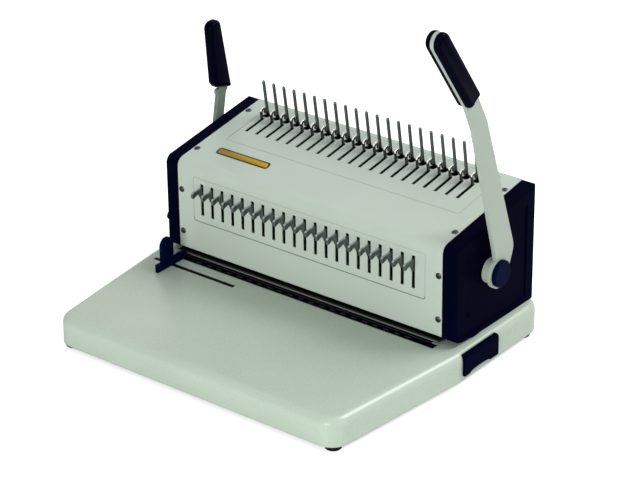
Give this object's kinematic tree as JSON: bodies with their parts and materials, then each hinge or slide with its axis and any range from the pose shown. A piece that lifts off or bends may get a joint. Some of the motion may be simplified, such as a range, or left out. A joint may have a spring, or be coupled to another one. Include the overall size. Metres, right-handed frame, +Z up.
{
  "type": "comb binding machine",
  "caption": "Desk comb binding machine: slotted sloping head with a punch lever, a comb opener lever, rows of pins, hooks and pulls, an edge guide and a chip tray on a flat base.",
  "frame": {"origin": "on the table, below the middle of the whole machine", "axes": "+X along the machine to the punch lever's side, +Y from the paper shelf to the back, +Z up"},
  "size_m": [0.432, 0.345, 0.4111],
  "materials": {
    "cover_paint": "satin pale grey-green paint",
    "base_plastic": "fine-textured pale grey-green plastic",
    "navy_plastic": "semi-gloss near-black navy plastic",
    "blue_plastic": "semi-gloss navy blue plastic",
    "rubber": "matt black rubber",
    "black_plastic": "matt black plastic strip",
    "steel": "ground steel",
    "dark_steel": "dark blued steel",
    "bright_steel": "bright plated steel",
    "zinc_steel": "zinc-plated sheet steel",
    "brass": "sintered bronze"
  },
  "bodies": {
    "machine": {"base_shell": "base_plastic", "base_bottom_plate": "zinc_steel", "rubber_feet": "rubber", "throat_strip": "black_plastic", "die_plate": "steel", "stripper_plate": "steel", "paper_stop": "steel", "metal_cover": "cover_paint", "rear_cover": "cover_paint", "right_end_cover": "navy_plastic", "left_end_cover": "navy_plastic", "right_side_frame": "zinc_steel", "left_side_frame": "zinc_steel", "shaft_bushes": "brass", "cover_screws": "dark_steel", "punch_guide_plate": "zinc_steel", "guide_studs": "steel", "pin_bar": "zinc_steel", "comb_pins": "dark_steel"},
    "punch_lever": {"punch_shaft": "steel", "punch_pinions": "steel", "punch_lever_blade": "cover_paint", "punch_lever_cap": "blue_plastic", "punch_grip_outer": "navy_plastic", "punch_grip_inner": "navy_plastic"},
    "punch_head": {"punch_bar": "zinc_steel", "punch_racks": "zinc_steel", "punches": "steel", "return_springs": "dark_steel"},
    "opener_lever": {"opener_shaft": "steel", "opener_pinions": "steel", "opener_lever_bar": "cover_paint", "opener_lever_grip": "navy_plastic", "opener_lever_cap": "blue_plastic"},
    "hook_slide": {"hook_carriage": "zinc_steel", "comb_hooks": "bright_steel"},
    "edge_guide": {"edge_guide": "blue_plastic"},
    "chip_tray": {"chip_tray": "navy_plastic"},
    "pull_01": {"punch_pull_01": "steel"},
    "pull_02": {"punch_pull_02": "steel"},
    "pull_03": {"punch_pull_03": "steel"},
    "pull_04": {"punch_pull_04": "steel"},
    "pull_05": {"punch_pull_05": "steel"},
    "pull_06": {"punch_pull_06": "steel"},
    "pull_07": {"punch_pull_07": "steel"},
    "pull_08": {"punch_pull_08": "steel"},
    "pull_09": {"punch_pull_09": "steel"},
    "pull_10": {"punch_pull_10": "steel"},
    "pull_11": {"punch_pull_11": "steel"},
    "pull_12": {"punch_pull_12": "steel"},
    "pull_13": {"punch_pull_13": "steel"},
    "pull_14": {"punch_pull_14": "steel"},
    "pull_15": {"punch_pull_15": "steel"},
    "pull_16": {"punch_pull_16": "steel"},
    "pull_17": {"punch_pull_17": "steel"},
    "pull_18": {"punch_pull_18": "steel"},
    "pull_19": {"punch_pull_19": "steel"},
    "pull_20": {"punch_pull_20": "steel"},
    "pull_21": {"punch_pull_21": "steel"}
  },
  "joints": [
    {"name": "punch_lever_swing", "type": "hinge", "parent": "machine", "child": "punch_lever", "pos_m": [0.2, 0.083, 0.1055], "axis": [1, 0, 0], "range_deg": [0, 80], "stiffness_Nm_per_rad": 1.5, "springref_deg": -34.38},
    {"name": "punch_head_travel", "type": "slide", "parent": "machine", "child": "punch_head", "axis": [0, 0, -1], "range_m": [0, 0.01885], "deforming": ["return_springs"]},
    {"name": "opener_lever_swing", "type": "hinge", "parent": "machine", "child": "opener_lever", "pos_m": [-0.2, 0.1205, 0.1055], "axis": [1, 0, 0], "range_deg": [0, 115.5]},
    {"name": "hook_slide_travel", "type": "slide", "parent": "machine", "child": "hook_slide", "axis": [0, -0.9888, -0.1495], "range_m": [0, 0.02722]},
    {"name": "edge_guide_travel", "type": "slide", "parent": "machine", "child": "edge_guide", "axis": [1, 0, 0], "range_m": [-0.018, 0.081]},
    {"name": "chip_tray_travel", "type": "slide", "parent": "machine", "child": "chip_tray", "axis": [1, 0, 0], "range_m": [0, 0.24]},
    {"name": "pull_01_travel", "type": "slide", "parent": "punch_head", "child": "pull_01", "axis": [0, -1, 0], "range_m": [0, 0.006]},
    {"name": "pull_02_travel", "type": "slide", "parent": "punch_head", "child": "pull_02", "axis": [0, -1, 0], "range_m": [0, 0.006]},
    {"name": "pull_03_travel", "type": "slide", "parent": "punch_head", "child": "pull_03", "axis": [0, -1, 0], "range_m": [0, 0.006]},
    {"name": "pull_04_travel", "type": "slide", "parent": "punch_head", "child": "pull_04", "axis": [0, -1, 0], "range_m": [0, 0.006]},
    {"name": "pull_05_travel", "type": "slide", "parent": "punch_head", "child": "pull_05", "axis": [0, -1, 0], "range_m": [0, 0.006]},
    {"name": "pull_06_travel", "type": "slide", "parent": "punch_head", "child": "pull_06", "axis": [0, -1, 0], "range_m": [0, 0.006]},
    {"name": "pull_07_travel", "type": "slide", "parent": "punch_head", "child": "pull_07", "axis": [0, -1, 0], "range_m": [0, 0.006]},
    {"name": "pull_08_travel", "type": "slide", "parent": "punch_head", "child": "pull_08", "axis": [0, -1, 0], "range_m": [0, 0.006]},
    {"name": "pull_09_travel", "type": "slide", "parent": "punch_head", "child": "pull_09", "axis": [0, -1, 0], "range_m": [0, 0.006]},
    {"name": "pull_10_travel", "type": "slide", "parent": "punch_head", "child": "pull_10", "axis": [0, -1, 0], "range_m": [0, 0.006]},
    {"name": "pull_11_travel", "type": "slide", "parent": "punch_head", "child": "pull_11", "axis": [0, -1, 0], "range_m": [0, 0.006]},
    {"name": "pull_12_travel", "type": "slide", "parent": "punch_head", "child": "pull_12", "axis": [0, -1, 0], "range_m": [0, 0.006]},
    {"name": "pull_13_travel", "type": "slide", "parent": "punch_head", "child": "pull_13", "axis": [0, -1, 0], "range_m": [0, 0.006]},
    {"name": "pull_14_travel", "type": "slide", "parent": "punch_head", "child": "pull_14", "axis": [0, -1, 0], "range_m": [0, 0.006]},
    {"name": "pull_15_travel", "type": "slide", "parent": "punch_head", "child": "pull_15", "axis": [0, -1, 0], "range_m": [0, 0.006]},
    {"name": "pull_16_travel", "type": "slide", "parent": "punch_head", "child": "pull_16", "axis": [0, -1, 0], "range_m": [0, 0.006]},
    {"name": "pull_17_travel", "type": "slide", "parent": "punch_head", "child": "pull_17", "axis": [0, -1, 0], "range_m": [0, 0.006]},
    {"name": "pull_18_travel", "type": "slide", "parent": "punch_head", "child": "pull_18", "axis": [0, -1, 0], "range_m": [0, 0.006]},
    {"name": "pull_19_travel", "type": "slide", "parent": "punch_head", "child": "pull_19", "axis": [0, -1, 0], "range_m": [0, 0.006]},
    {"name": "pull_20_travel", "type": "slide", "parent": "punch_head", "child": "pull_20", "axis": [0, -1, 0], "range_m": [0, 0.006]},
    {"name": "pull_21_travel", "type": "slide", "parent": "punch_head", "child": "pull_21", "axis": [0, -1, 0], "range_m": [0, 0.006]}
  ],
  "couplings": [
    {"joint": "punch_head_travel", "follows": "punch_lever_swing", "m_per_rad": 0.0135},
    {"joint": "hook_slide_travel", "follows": "opener_lever_swing", "m_per_rad": 0.0135}
  ]
}
